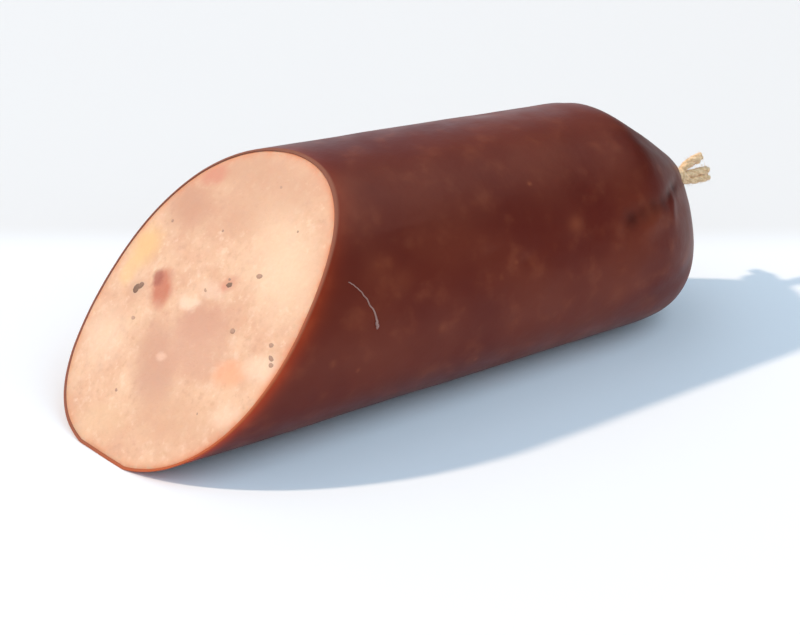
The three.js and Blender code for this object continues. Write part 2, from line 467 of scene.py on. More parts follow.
folds = sum(fold_height(path) for path in FOLDS)
pleats = pleat_height()
relief = lumps_and_dimples() * smoothstep(4, 14, to_neck) + folds + pleats
skin = skin + surface_normals(skin) * relief[..., None]
skin[..., 2] = np.maximum(skin[..., 2], 0)
skin[0, :, 0] = slice_x(skin[0, :, 1], skin[0, :, 2])
skin_normals = surface_normals(skin)
print("Relief from", relief.min().round(2), "to", relief.max().round(2), "mm")

# %% [markdown]
# The neck and the tail carry on from the last ring. The gathered casing stands in a star of folds,
# which opens out beyond the tie, where it was trimmed with one uneven cut.

# %% Neck and trimmed tail
# Each ring of the neck and tail: middle x, y, z, radius, depth of the star's folds.
NECK_RINGS = (
    (157.2, 5.0, 34.9, 2.6, 0.20), (160.0, 5.0, 34.9, 2.5, 0.30), (163.0, 5.1, 34.8, 2.4, 0.35),
    (165.3, 5.4, 34.6, 2.5, 0.45), (166.4, 6.0, 34.2, 2.8, 0.60), (167.5, 7.2, 33.5, 3.1, 0.75),
    (168.6, 8.5, 32.7, 3.4, 0.85),
)
TAIL_LAYERS = ((0.86, 0.25), (0.72, -0.35), (0.55, 0.15), (0.38, -0.55), (0.18, -0.2))
NECK_ROWS = 30


def star(depth):
    """Radius change round the gathered casing: sharp valleys between rounded folds."""
    wave = np.abs(np.sin(angles * SHORT_PLEATS / 4 + 0.4 * np.sin(2 * angles)))
    slow = 0.35 * np.sin(3 * angles + 0.8) + 0.25 * np.sin(5 * angles)
    return depth * (wave ** 0.7 - 0.6 + slow)


def neck_rows():
    """Rings along the neck and tail, eased between the few rings listed above."""
    places = np.linspace(0, len(NECK_RINGS) - 1, NECK_ROWS)
    listed = np.array(NECK_RINGS)
    eased = np.stack([np.interp(places, range(len(listed)), listed[:, i]) for i in range(5)], -1)
    rings = []
    for x, y, z, radius, depth in eased:
        spoke = radius + star(depth)
        rings.append(np.stack([
            x + 0 * angles, y + spoke * np.cos(angles), z + spoke * np.sin(angles)], -1))
    return np.array(rings)


def tail_cap(last_ring):
    """The cut end of the gathered casing: folds that step in and out towards the middle."""
    middle = last_ring.mean(0)
    rings = []
    for share, out in TAIL_LAYERS:
        ring = middle + (last_ring - middle) * share
        ring[:, 0] += out + 0.18 * np.sin(7 * angles + 9 * share)
        rings.append(ring)
    return np.array(rings), middle


neck = neck_rows()
near_cut = smoothstep(0.7, 1.0, np.linspace(0, 1, NECK_ROWS))[:, None]
neck[:, :, 0] += 0.35 * near_cut * np.sin(3 * angles + 1.1)
cap, cap_middle = tail_cap(neck[-1])
outside = np.concatenate([skin, neck, cap])
print("Tail ends", round(float(neck[-1, :, 0].max() - POLE[0]), 1), "mm beyond the pole")

# %% [markdown]
# ## Closing the casing
# The casing has a wall, so its mesh turns in at the slice: a lip of three narrow rings, then an inner
# wall that follows the outside at every fourth ring. The inner wall closes with a fan behind the
# pucker. Blender's normals must point out of the material, so the inner faces are wound backwards.

# %% The casing mesh
INNER_STEP = 4
inner_last = int(np.argmax(skin[..., 0].max(1) > POLE[0] - PUCKER_DEPTH - 1.5))
inner_index = np.concatenate([[0, 2], np.arange(INNER_STEP, inner_last, INNER_STEP)])


def pushed_in(depth, index):
    """Skin rings moved into the sausage, with the first ring kept on the slice."""
    rings = skin[index] - skin_normals[index] * depth
    rings[..., 2] = np.maximum(rings[..., 2], depth)
    on_slice = slice_x(rings[..., 1], rings[..., 2])
    rings[..., 0] = np.maximum(rings[..., 0], on_slice)
    if index[0] == 0:
        rings[0, :, 0] = on_slice[0]
    return rings


lip = np.concatenate([pushed_in(CASING_WALL * share, [0]) for share in (0.75, 0.3)])
outer_lip = skin[:1].copy()
outer_lip[..., 0] += 0.12
inner_wall = pushed_in(CASING_WALL, inner_index)
casing_rings = np.concatenate([inner_wall[::-1], lip, outer_lip, outside[1:]])
inner_middle = inner_wall[-1].mean(0)
casing_points = np.concatenate([
    casing_rings.reshape(-1, 3), inner_middle[None], cap_middle[None]])
ring_count = len(casing_rings)
casing_faces = [
    *grid_faces(ring_count, COLUMNS),
    *fan_faces(np.arange(COLUMNS), ring_count * COLUMNS, flip=True),
    *fan_faces(np.arange(COLUMNS) + (ring_count - 1) * COLUMNS, ring_count * COLUMNS + 1),
]
print("Casing:", len(casing_points), "points,", len(casing_faces), "faces")

# %% [markdown]
# ## The casing's finish
# Smoke has dyed the casing a deep red-brown, uneven from place to place. Close to the slice, an orange
# glow of light through the thin edge is painted into the colour. The folds, the neck and two bands
# round the barrel are darkened with painted shade. The skin is semi-glossy. Its shine comes from the
# shader's roughness and a very fine bump, and the larger lumps are real geometry.

# %% Casing material


def smoked_casing():
    """Uneven red-brown smoke colour with painted shade in the folds and a painted orange glow at the cut
    edge, under a soft gloss.
    """
    material, tree, shader = new_material("smoked_casing")
    place = wire(tree, "ShaderNodeTexCoord").outputs["Object"]
    broad = mottling(tree, place, 38, 3, 0.5)
    soft = mottling(tree, place, 150, 3, 0.5)
    colour = blend_colour(tree, ramp_between(tree, broad, 0.34, 0.66),
                          (0.112, 0.0105, 0.0050), (0.148, 0.0205, 0.0085))
    spots = arithmetic(tree, "MULTIPLY", ramp_between(tree, soft, 0.50, 0.80), 0.55)
    colour = blend_colour(tree, spots, colour, (0.22, 0.044, 0.018))
    # Painted shade: a dark red-brown laid over the folds, the neck and two bands round the barrel.
    colour = blend_colour(tree, attribute(tree, "fold_shade"), colour, (0.060, 0.006, 0.003))
    colour = blend_colour(tree, attribute(tree, "thin_spot"), colour, (0.27, 0.058, 0.022))
    # Painted glow: the orange of light through the thin edge near the slice, strongest towards one side.
    edge = arithmetic(tree, "MULTIPLY", attribute(tree, "edge_glow"),
                      ramp_between(tree, broad, 0.05, 0.55))
    colour = blend_colour(tree, edge, colour, (0.56, 0.045, 0.002))
    # The cut wall is painted brighter where the same glow is strongest.
    wall = blend_colour(tree, attribute(tree, "edge_glow"), (0.22, 0.075, 0.045), (0.46, 0.095, 0.030))
    colour = blend_colour(tree, attribute(tree, "cut_edge"), colour, wall)
    tree.links.new(colour, shader.inputs["Base Color"])
    rough = mottling(tree, place, 90, 3)
    rough = wire(tree, "ShaderNodeMapRange", {0: rough, 1: 0.3, 2: 0.7, 3: 0.37, 4: 0.50}).outputs[0]
    rough = wire(tree, "ShaderNodeMix", {0: attribute(tree, "cut_edge"), 2: rough, 3: 0.75})
    tree.links.new(rough.outputs[0], shader.inputs["Roughness"])
    shader.inputs["IOR"].default_value = 1.33
    shader.inputs["Specular Tint"].default_value = (1.0, 0.90, 0.82, 1.0)
    shader.inputs["Subsurface Weight"].default_value = 0.10
    shader.inputs["Subsurface Radius"].default_value = (0.0030, 0.0006, 0.0003)
    shader.inputs["Subsurface Scale"].default_value = 1.0
    grain = mottling(tree, place, 1300, 2, 0.6)
    bump = wire(tree, "ShaderNodeBump", {"Height": grain, "Strength": 0.18, "Distance": 0.00010})
    waves = mottling(tree, place, 300, 2)
    rippled = wire(tree, "ShaderNodeBump", {
        "Height": waves, "Strength": 0.35, "Distance": 0.00025, "Normal": bump.outputs[0]})
    tree.links.new(rippled.outputs[0], shader.inputs["Normal"])
    return material


# %% [markdown]
# ## Where the casing is thin or cut, and where shade and glow are painted
# The material above reads four numbers from the mesh. They say how thin the skin is, how much painted
# shade darkens a fold or band, how much painted glow lies near the cut edge and which faces are the cut
# wall itself. Numbers on the points follow the surface exactly, so a pale spot stays on its lump from
# every side.

# %% Numbers for the casing's colour
# Places where the skin is thinner and paler: along x, angle, half size, strength.
THIN_SPOTS = (
    (98.0, 157, 2.6, 0.55), (36.0, 155, 4.5, 0.25), (42.0, 163, 3.5, 0.30), (111.0, 196, 3.0, 0.25),
    (125.5, 165, 4.6, 0.22), (86.8, 133.2, 0.55, 1.0), (64.1, 209, 0.6, 0.8), (76.8, 167.8, 0.5, 0.6),
    (71.4, 172.8, 0.5, 0.6), (52.0, 188, 1.2, 0.4), (20.0, 190, 0.8, 0.5), (27.0, 196, 0.5, 0.6),
)


def thin_spots():
    """How thin and pale the casing is at every grid point, from 0 to 1."""
    amount = np.zeros(skin.shape[:2])
    for x, degrees, half, strength in THIN_SPOTS:
        arc = RADIUS * angle_gap(angles, math.radians(degrees))
        spread = ((skin[..., 0] - x) ** 2 + arc ** 2) / half ** 2
        amount = np.maximum(amount, strength * np.exp(-spread))
    return amount


# Painted shade along the front fold: distance past the shoulder, angle, half size, strength.
FRONT_FOLD_SHADE = (
    (-7.5, 161.5, 2.4, 0.55), (-4.0, 159.5, 2.4, 0.40), (1.0, 158.0, 2.2, 0.50), (6.0, 157.0, 2.2, 0.60),
    (11.0, 154.5, 2.2, 0.65), (16.5, 152.5, 2.2, 0.75),
)


def front_fold_shade():
    """How much painted shade darkens the front fold at every grid point, from 0 to 1."""
    amount = np.zeros(skin.shape[:2])
    for past_shoulder, degrees, half, strength in FRONT_FOLD_SHADE:
        distance = np.linalg.norm(skin - skin_place(past_shoulder, degrees), axis=-1)
        amount = np.maximum(amount, strength * np.exp(-(distance / half) ** 2))
    return amount


# Painted glow: how strongly the orange of light through the thin edge is painted, near the slice and on
# the cut wall, most towards EDGE_GLOW_TOWARDS degrees.
EDGE_GLOW_REACH = 3.2
EDGE_GLOW_TOWARDS = 222
rows_inside = len(inner_wall)
glow = np.zeros((ring_count, COLUMNS))
cut_edge = np.zeros((ring_count, COLUMNS))
fold_shade = np.zeros((ring_count, COLUMNS))
first_outer = rows_inside + len(lip)
brighter = 0.5 + 0.5 * np.cos(angle_gap(angles, math.radians(EDGE_GLOW_TOWARDS)))
glow[first_outer:first_outer + len(skin)] = (
    np.exp(-(along / EDGE_GLOW_REACH) ** 1.5) * (0.10 + 0.80 * brighter ** 4))
glow[:first_outer] = brighter ** 4
cut_edge[:first_outer + 1] = 1
# Painted shade: two bands round the barrel (upper front and lower front), the valleys of folds and
# pleats, the front fold, and the whole neck and tail are darkened.
shade_bands = sum(strength * np.exp(-(angle_gap(angles, math.radians(middle)) / 0.5) ** 2)
                 for middle, strength in ((120, 0.22), (245, 0.30)))
fold_shade[first_outer:first_outer + len(skin)] = np.clip(
    shade_bands - (folds + pleats) / 1.3 + front_fold_shade(), 0, 1)
fold_shade[first_outer + len(skin):] = 0.5
thin = np.zeros((ring_count, COLUMNS))
thin[first_outer:first_outer + len(skin)] = thin_spots()
pad = np.zeros(2)
casing = mesh_piece("smoked_casing", casing_points, casing_faces, smoked_casing(), {
    "edge_glow": np.concatenate([glow.ravel(), pad]),
    "cut_edge": np.concatenate([cut_edge.ravel(), pad]),
    "fold_shade": np.concatenate([fold_shade.ravel(), pad + 0.5]),
    "thin_spot": np.concatenate([thin.ravel(), pad]),
})
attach(casing, "root")
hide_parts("casing")
print("Strongest edge glow:", glow[first_outer:].max().round(2), "at", EDGE_GLOW_TOWARDS, "degrees")

# %% [markdown]
# ## The meat filling
# The filling is one cooked mass that fills the casing. Only its sliced face is seen, so that face
# gets the fine grid: rings that shrink from the casing's inner edge to the middle. The knife leaves
# long shallow waves, the meat is slightly grainy, and it draws back a hair beside the casing.

# %% The meat mesh
FACE_ROWS = 118
MEAT_INSET = 0.58
face_normal = np.array((-1.0, SLICE_PER_Y, SLICE_PER_Z))
face_normal /= np.linalg.norm(face_normal)
face_up = np.array((face_normal[2], 0.0, -face_normal[0]))
face_up /= np.linalg.norm(face_up)
face_side = np.cross(face_normal, face_up)
face_middle = np.array((0.0, 0.0, AXIS_HEIGHT))


def face_place(points):
    """Place on the sliced face: millimetres towards its far side, and up the slope."""
    offset = np.asarray(points) - face_middle
    return np.stack([offset @ face_side, offset @ face_up], -1)


def knife_marks(points, from_edge):
    """Height of the sliced face above its plane, in mm."""
    side, up = np.moveaxis(face_place(points), -1, 0)
    waves = 0.06 * np.sin(up / 4.2 + 0.6 * np.sin(side / 13)) + 0.04 * np.sin(side / 9 + up / 17)
    grain = 0.05 * smooth_noise(points, 2.2, 21) + 0.03 * smooth_noise(points, 0.9, 22)
    drawn_back = -0.22 * np.exp(-from_edge / 0.5)
    return (waves + grain) * smoothstep(0, 1.5, from_edge) + drawn_back


rim = pushed_in(MEAT_INSET, [0])[0]
centre = np.array((slice_x(0, AXIS_HEIGHT), 0, AXIS_HEIGHT))
shares = 1 - np.linspace(0, 1, FACE_ROWS, endpoint=False) ** 1.12
face_rows = centre + (rim - centre) * shares[:, None, None]
from_edge = np.linalg.norm(face_rows - rim, axis=-1)
face_rows = face_rows + face_normal * knife_marks(face_rows, from_edge)[..., None]
face_centre = centre + face_normal * 0.05
side_index = np.concatenate([[1, 3], np.arange(8, inner_last, 8)])
side_rows = pushed_in(MEAT_INSET, side_index)
meat_rings = np.concatenate([side_rows[::-1], rim[None] - face_normal * 0.22, face_rows[1:]])
side_middle = side_rows[-1].mean(0)
meat_points = np.concatenate([meat_rings.reshape(-1, 3), side_middle[None], face_centre[None]])
meat_faces = [
    *grid_faces(len(meat_rings), COLUMNS, flip=True),
    *fan_faces(np.arange(COLUMNS), len(meat_rings) * COLUMNS),
    *fan_faces(np.arange(COLUMNS) + (len(meat_rings) - 1) * COLUMNS,
               len(meat_rings) * COLUMNS + 1, flip=True),
]
print("Meat:", len(meat_points), "points,", len(meat_faces), "faces")

# %% [markdown]
# ## The meat's finish
# The slice is a pale pink-beige paste with duller and fattier clouds in it. A few things have a
# place of their own: a red lean piece, a whitish fat piece beside it, a yellow patch at the far edge
# and a large greyish-pink cloud below the middle. Each is an ellipse on the face, with its outline
# broken up by noise. The mesh stores the place on the face as a UV map in centimetres.

# %% Meat material
# Each patch: middle (towards the far side, up the slope), half sizes, turn in degrees, softness,
# colour, strength.
PATCHES = (
    ((5.6, 27.3), (12.0, 6.5), -21, 0.70, (0.62, 0.330, 0.205), 0.72),
    ((24.0, 19.0), (9.0, 7.0), -2, 0.70, (0.55, 0.265, 0.165), 0.85),
    ((13.6, 36.0), (13.0, 5.5), -23, 0.70, (0.60, 0.315, 0.195), 0.80),
    ((-4.0, 38.0), (9.0, 7.0), 20, 0.70, (0.64, 0.350, 0.220), 0.70),
    ((23.0, 29.5), (4.2, 2.6), -31, 0.60, (0.62, 0.220, 0.140), 0.80),
    ((-17.0, 21.0), (14.0, 9.0), 31, 0.80, (0.86, 0.580, 0.380), 0.75),
    ((-5.3, -2.3), (8.6, 5.2), -21, 0.60, (0.580, 0.275, 0.180), 0.85),
    ((1.0, -16.8), (10.6, 6.6), 33, 0.60, (0.570, 0.280, 0.180), 0.80),
    ((-4.0, -23.0), (7.0, 5.2), 0, 0.55, (0.59, 0.310, 0.205), 0.70),
    ((-8.0, -9.0), (11.0, 7.5), -8, 0.60, (0.62, 0.325, 0.220), 0.60),
    ((-0.3, -15.6), (1.7, 1.1), -24, 0.60, (0.80, 0.490, 0.350), 0.70),
    ((14.1, -2.2), (5.4, 3.1), 56, 0.50, (0.50, 0.130, 0.070), 0.92),
    ((17.3, -1.0), (2.4, 1.6), 18, 0.60, (0.34, 0.075, 0.048), 0.85),
    ((2.5, -0.7), (3.4, 1.8), -21, 0.55, (0.88, 0.610, 0.430), 0.80),
    ((-1.5, 5.5), (5.0, 2.4), -20, 0.60, (0.84, 0.570, 0.410), 0.50),
    ((28.7, 3.5), (5.6, 4.4), 77, 0.60, (0.82, 0.480, 0.200), 0.80),
    ((29.0, -4.0), (4.2, 3.0), 78, 0.50, (0.86, 0.510, 0.230), 0.60),
    ((-22.9, -7.4), (5.0, 3.2), -30, 0.55, (0.84, 0.350, 0.190), 0.75),
    ((21.5, -22.0), (8.0, 6.8), 39, 0.70, (0.86, 0.580, 0.400), 0.55),
    ((-30.5, -1.5), (5.5, 3.2), -27, 0.55, (0.88, 0.600, 0.420), 0.70),
    ((-14.8, -26.0), (12.5, 6.0), -28, 0.75, (0.66, 0.360, 0.220), 0.75),
    ((-30.0, -16.0), (4.2, 2.8), -34, 0.60, (0.88, 0.590, 0.410), 0.65),
    ((4.0, -38.4), (7.5, 4.5), -22, 0.70, (0.76, 0.470, 0.280), 0.60),
    ((22.0, -6.2), (3.4, 2.6), -70, 0.60, (0.62, 0.350, 0.230), 0.45),
    ((-5.0, 9.3), (2.8, 1.9), -45, 0.70, (0.62, 0.210, 0.130), 0.65),
)


def face_patch(tree, uv, warp, middle, half, turn, softness):
    """How far inside an ellipse on the face a point is: 0 outside, 1 well inside."""
    there = wire(tree, "ShaderNodeVectorMath", {0: uv, 1: warp}, operation="ADD").outputs[0]
    moved = wire(tree, "ShaderNodeMapping", {
        "Vector": there,
        "Location": (middle[0] / 10, middle[1] / 10, 0),
        "Rotation": (0, 0, math.radians(turn)),
        "Scale": (half[0] / 10, half[1] / 10, 1),
    }, vector_type="TEXTURE").outputs[0]
    flat = wire(tree, "ShaderNodeVectorMath", {0: moved, 1: (1, 1, 0)}, operation="MULTIPLY")
    length = wire(tree, "ShaderNodeVectorMath", {0: flat.outputs[0]}, operation="LENGTH")
    return ramp_between(tree, length.outputs["Value"], 1 + softness, 1 - softness)


def cooked_meat():
    """Pale paste with clouds, placed patches, a smoked rim and a finely pitted surface."""
    material, tree, shader = new_material("cooked_meat")
    place = wire(tree, "ShaderNodeTexCoord").outputs["Object"]
    uv = wire(tree, "ShaderNodeUVMap", uv_map="face").outputs[0]
    cloud = mottling(tree, place, 85, 4, 0.6)
    small = mottling(tree, place, 260, 4, 0.62)
    grain = mottling(tree, place, 1100, 3, 0.6)
    colour = blend_colour(tree, ramp_between(tree, cloud, 0.36, 0.64),
                          (0.690, 0.370, 0.230), (0.780, 0.475, 0.300))
    pale = arithmetic(tree, "MULTIPLY", ramp_between(tree, small, 0.52, 0.74), 0.50)
    colour = blend_colour(tree, pale, colour, (0.860, 0.600, 0.420))
    dull = arithmetic(tree, "MULTIPLY", ramp_between(tree, small, 0.48, 0.28), 0.45)
    colour = blend_colour(tree, dull, colour, (0.600, 0.310, 0.200))
    crumb = mottling(tree, place, 520, 3, 0.6)
    bright = arithmetic(tree, "MULTIPLY", ramp_between(tree, crumb, 0.56, 0.72), 0.30)
    colour = blend_colour(tree, bright, colour, (0.880, 0.640, 0.430))
    shade = arithmetic(tree, "MULTIPLY", ramp_between(tree, crumb, 0.46, 0.30), 0.28)
    colour = blend_colour(tree, shade, colour, (0.580, 0.300, 0.170))
    shake = wire(tree, "ShaderNodeTexNoise", {"Vector": place, "Scale": 260.0, "Detail": 3.0})
    centred = wire(tree, "ShaderNodeVectorMath", {0: shake.outputs["Color"], 1: (0.5, 0.5, 0.5)},
                   operation="SUBTRACT")
    warp = scaled(tree, centred.outputs[0], 0.35)
    for middle, half, turn, softness, patch_colour, strength in PATCHES:
        mask = face_patch(tree, uv, warp, middle, half, turn, softness)
        mask = arithmetic(tree, "MULTIPLY", mask, strength)
        colour = blend_colour(tree, mask, colour, patch_colour)
    smoke = arithmetic(tree, "MULTIPLY", attribute(tree, "smoke_ring"),
                       ramp_between(tree, small, 0.25, 0.62))
    colour = blend_colour(tree, smoke, colour, (0.72, 0.200, 0.080))
    colour = blend_colour(tree, arithmetic(tree, "MULTIPLY", grain, 0.26), colour, (0.56, 0.29, 0.17))
    tree.links.new(colour, shader.inputs["Base Color"])
    rough = wire(tree, "ShaderNodeMapRange", {0: small, 1: 0.3, 2: 0.7, 3: 0.52, 4: 0.68})
    tree.links.new(rough.outputs[0], shader.inputs["Roughness"])
    shader.inputs["IOR"].default_value = 1.36
    shader.inputs["Subsurface Weight"].default_value = 0.30
    shader.inputs["Subsurface Radius"].default_value = (0.0040, 0.0015, 0.0008)
    shader.inputs["Subsurface Scale"].default_value = 1.0
    pores = wire(tree, "ShaderNodeTexVoronoi", {"Vector": place, "Scale": 700.0})
    pits = ramp_between(tree, pores.outputs["Distance"], 0.0, 0.28)
    texture = arithmetic(tree, "ADD", arithmetic(tree, "MULTIPLY", pits, 0.5), grain)
    bump = wire(tree, "ShaderNodeBump", {"Height": texture, "Strength": 0.5, "Distance": 0.00018})
    tree.links.new(bump.outputs[0], shader.inputs["Normal"])
    return material


# %% [markdown]
# The smoke has also stained a narrow ring of meat just inside the casing. It fades within a
# millimetre or two, so it is one number on the points, worked out from the distance to the edge.

# %% The meat piece
smoke_ring = np.zeros((len(meat_rings), COLUMNS))
smoke_ring[:len(side_rows)] = 1
smoke_ring[len(side_rows):] = 0.9 * np.exp(-(from_edge / 1.3) ** 1.3)
meat = mesh_piece("meat_filling", meat_points, meat_faces, cooked_meat(), {
    "smoke_ring": np.concatenate([smoke_ring.ravel(), (1, 0)])})
face_uv = meat.data.uv_layers.new(name="face")
corner_points = np.array([loop.vertex_index for loop in meat.data.loops])
face_uv.data.foreach_set("uv", (face_place(meat_points) / 10)[corner_points].ravel())
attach(meat, "root")
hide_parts("meat_filling")
print("Patches on the sliced face:", len(PATCHES))

# %% [markdown]
# ## Pepper in the slice
# Ground pepper and a few dark crumbs sit in the cut surface. They are small lumpy grains, sunk so
# that only a low cap shows. A Geometry Nodes tree copies one rough ball to a handful of points. The
# points carry their own size and turn, so every grain comes out different.

# %% Pepper places
GRAIN_SUNK = 0.19
GRAIN_HALF_HEIGHT = 0.26
# Each grain: place towards the far side and up the slope, half length, half width, turn, tone.
GRAINS = (
    (22.1, -7.0, 1.45, 1.00, 72, 1.0), (21.3, -5.5, 1.20, 0.85, 105, 0.9),
    (-5.4, 9.2, 1.45, 1.00, -35, 1.0), (-4.4, 10.3, 0.60, 0.50, 0, 0.6),
    (-12.1, 15.5, 1.00, 0.62, -28, 0.50), (0.4, 4.4, 0.95, 0.70, 25, 0.4),
    (-15.5, 0.9, 0.80, 0.60, -7, 0.50), (-28.7, 4.3, 1.00, 0.70, -16, 0.50),
    (-31.0, 1.8, 1.20, 0.62, 10, 0.60), (-32.3, 0.6, 0.90, 0.60, -10, 0.50),
    (-0.4, 36.7, 0.80, 0.60, 2, 0.3), (16.5, -13.3, 0.80, 0.55, -9, 0.30),
    (8.0, 19.0, 0.40, 0.32, 30, 0.35), (-22.0, -20.0, 0.48, 0.34, 60, 0.35),
    (6.0, -30.0, 0.50, 0.36, 15, 0.35), (26.0, 13.0, 0.48, 0.36, 40, 0.4),
    (-14.0, 30.0, 0.42, 0.34, 10, 0.35),
)


# %% [markdown]
# A dark grain isn't one flat colour, and a grain just under the paste looks paler. The material
# blends by a tone that each grain's point carries.

# %% Pepper material


def pepper_material():
    """Speckled brown grains, paler where their tone is low."""
    material, tree, shader = new_material("pepper")
    tone = attribute(tree, "tone")
    place = wire(tree, "ShaderNodeTexCoord").outputs["Object"]
    speck = mottling(tree, place, 1500, 3)
    dark = blend_colour(tree, speck, (0.100, 0.038, 0.018), (0.25, 0.115, 0.060))
    colour = blend_colour(tree, tone, (0.62, 0.34, 0.22), dark)
    tree.links.new(colour, shader.inputs["Base Color"])
    shader.inputs["Roughness"].default_value = 0.6
    return material


# %% [markdown]
# ## Helpers for Geometry Nodes
# A tree is built like a material. It is then run once on a source object, and its result is kept as
# a plain mesh. An input is set by its identifier, because that is what a modifier stores.

# %% Geometry Nodes helpers


def new_tree(name, sockets):
    """A Geometry Nodes tree with one geometry in, one out, and extra inputs with their defaults."""
    tree = bpy.data.node_groups.new(name, "GeometryNodeTree")
    face = tree.interface
    face.new_socket("Geometry", in_out="INPUT", socket_type="NodeSocketGeometry")
    for label, kind, value in sockets:
        socket = face.new_socket(label, in_out="INPUT", socket_type=kind)
        socket.default_value = value
    face.new_socket("Geometry", in_out="OUTPUT", socket_type="NodeSocketGeometry")
    start = tree.nodes.new("NodeGroupInput")
    end = tree.nodes.new("NodeGroupOutput")
    return tree, start, end


def grown(name, source, tree, values):
    """The plain mesh that a tree makes from an object, as a new object. The source is removed."""
    modifier = source.modifiers.new(name, "NODES")
    modifier.node_group = tree
    for item in tree.interface.items_tree:
        if item.in_out == "INPUT" and item.name in values:
            modifier[item.identifier] = values[item.name]
    view = bpy.context.evaluated_depsgraph_get()
    view.update()
    mesh = bpy.data.meshes.new_from_object(source.evaluated_get(view), depsgraph=view)
    mesh.name = name
    bpy.data.objects.remove(source)
    mesh.polygons.foreach_set("use_smooth", [True] * len(mesh.polygons))
    piece = bpy.data.objects.new(name, mesh)
    bpy.context.scene.collection.objects.link(piece)
    return piece


# %% Scattered grains


def pepper_tree():
    """A Geometry Nodes tree that puts one rough ball on every point, sized and turned by it."""
    tree, start, end = new_tree("scattered_grains", [
        ("Roughness", "NodeSocketFloat", 0.25), ("Grain", "NodeSocketMaterial", None)])
    ball = wire(tree, "GeometryNodeMeshIcoSphere", {"Radius": 1.0, "Subdivisions": 2})
    place = wire(tree, "GeometryNodeInputPosition").outputs[0]
    lumps = wire(tree, "ShaderNodeTexNoise", {"Vector": place, "Scale": 1.3, "Detail": 1.0})
    amount = arithmetic(tree, "MULTIPLY", lumps.outputs[0], start.outputs["Roughness"])
    push = scaled(tree, place, amount)
    rough = wire(tree, "GeometryNodeSetPosition", {"Geometry": ball.outputs[0], "Offset": push})
    size = wire(tree, "GeometryNodeInputNamedAttribute", {"Name": "size"}, data_type="FLOAT_VECTOR")
    lean = wire(tree, "GeometryNodeInputNamedAttribute", {"Name": "lean"}, data_type="FLOAT_VECTOR")
    copies = wire(tree, "GeometryNodeInstanceOnPoints", {
        "Points": start.outputs["Geometry"], "Instance": rough.outputs[0],
        "Rotation": lean.outputs[0], "Scale": size.outputs[0]})
    real = wire(tree, "GeometryNodeRealizeInstances", {"Geometry": copies.outputs[0]})
    final = wire(tree, "GeometryNodeSetMaterial", {
        "Geometry": real.outputs[0], "Material": start.outputs["Grain"]})
    tree.links.new(final.outputs[0], end.inputs[0])
    return tree


def pepper():
    """The grains of GRAINS, sunk in the sliced face, as one mesh."""
    material = pepper_material()
    points = []
    leans = []
    sizes = []
    for side, up, half_long, half_wide, turn, tone in GRAINS:
        points.append(face_middle + face_side * side + face_up * up - face_normal * GRAIN_SUNK)
        first = face_side * math.cos(math.radians(turn)) + face_up * math.sin(math.radians(turn))
        second = np.cross(face_normal, first)
        axes = Matrix((first, second, face_normal)).transposed()
        leans.append(tuple(axes.to_euler()))
        sizes.append((half_long * MM, half_wide * MM, GRAIN_HALF_HEIGHT * MM))
    mesh = bpy.data.meshes.new("grain_places")
    mesh.from_pydata(to_frame(points).tolist(), [], [])
    for label, values in (("size", sizes), ("lean", leans)):
        store = mesh.attributes.new(label, "FLOAT_VECTOR", "POINT")
        store.data.foreach_set("vector", np.array(values, np.float32).ravel())
    store = mesh.attributes.new("tone", "FLOAT", "POINT")
    store.data.foreach_set("value", [grain[5] for grain in GRAINS])
    places = bpy.data.objects.new("grain_places", mesh)
    bpy.context.scene.collection.objects.link(places)
    return grown("pepper_grains", places, pepper_tree(), {"Roughness": 0.5, "Grain": material})


grains = pepper()
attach(grains, "root")
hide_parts("meat_filling")
print("Pepper:", len(grains.data.polygons), "faces")

# %% [markdown]
# ## The twine
# Butcher's twine is three cotton plies laid round each other. Curves give the way it goes: two turns
# round the neck, a short band of knot on the near side, and four cut ends. A Geometry Nodes tree
# turns each curve into plies: it copies the curve three times, pushes every copy sideways in a slow
# spiral, thickens it, and plants short loose fibres on the result.

# %% Twine paths
TWINE_RADIUS = 1.25
WINDING_START_X = 160.1
KNOT = np.array((164.6, 0.6, 36.4))
TWINE_ENDS = (
    ((0.0, 0.3, 1.0), (3.2, 0.0, 3.9), (7.9, -0.4, 5.6)),
    ((0.3, 0.5, 0.9), (4.4, 1.0, 3.0), (8.8, 1.6, 3.5)),
    ((0.4, -0.4, 0.1), (5.2, -0.7, 0.4), (11.0, -0.9, 0.5)),
    ((0.3, -0.4, -1.2), (5.4, -0.9, -1.9), (11.4, -1.1, -2.0)),
)


def smooth_path(knots, count=40):
    """A soft curve through a few points."""
    knots = np.asarray(knots, float)
    padded = np.concatenate([[2 * knots[0] - knots[1]], knots, [2 * knots[-1] - knots[-2]]])
    result = []
    for place in np.linspace(0, len(knots) - 1, count):
        index = min(int(place), len(knots) - 2)
        t = place - index
        a, b, c, d = padded[index:index + 4]
        result.append(0.5 * (2 * b + (c - a) * t + (2 * a - 5 * b + 4 * c - d) * t ** 2
                             + (3 * b - a - 3 * c + d) * t ** 3))
    return np.array(result)


def winding_path():
    """Two turns round the neck, one beside the other, ending under the knot."""
    turn = np.linspace(0, 2, 120)
    angle = 2 * np.pi * turn + math.atan2(KNOT[2] - POLE[2], KNOT[1] - POLE[1])
    radius = NECK_RADIUS + 0.25 + TWINE_RADIUS
    x = WINDING_START_X + TWINE_RADIUS * (1 + turn)
    return np.stack([x, POLE[1] + radius * np.cos(angle), POLE[2] + radius * np.sin(angle)], -1)


def knot_path():
    """The band of the knot, wrapped once and a half across the roots of the cut ends."""
    turn = np.linspace(0.05, 1.55, 70)
    angle = 2 * np.pi * turn
    return np.stack([
        KNOT[0] - 0.2 + 0.9 * (turn - 0.8), KNOT[1] - 0.15 + 1.15 * np.cos(angle),
        KNOT[2] + 0.1 + 1.35 * np.sin(angle)], -1)


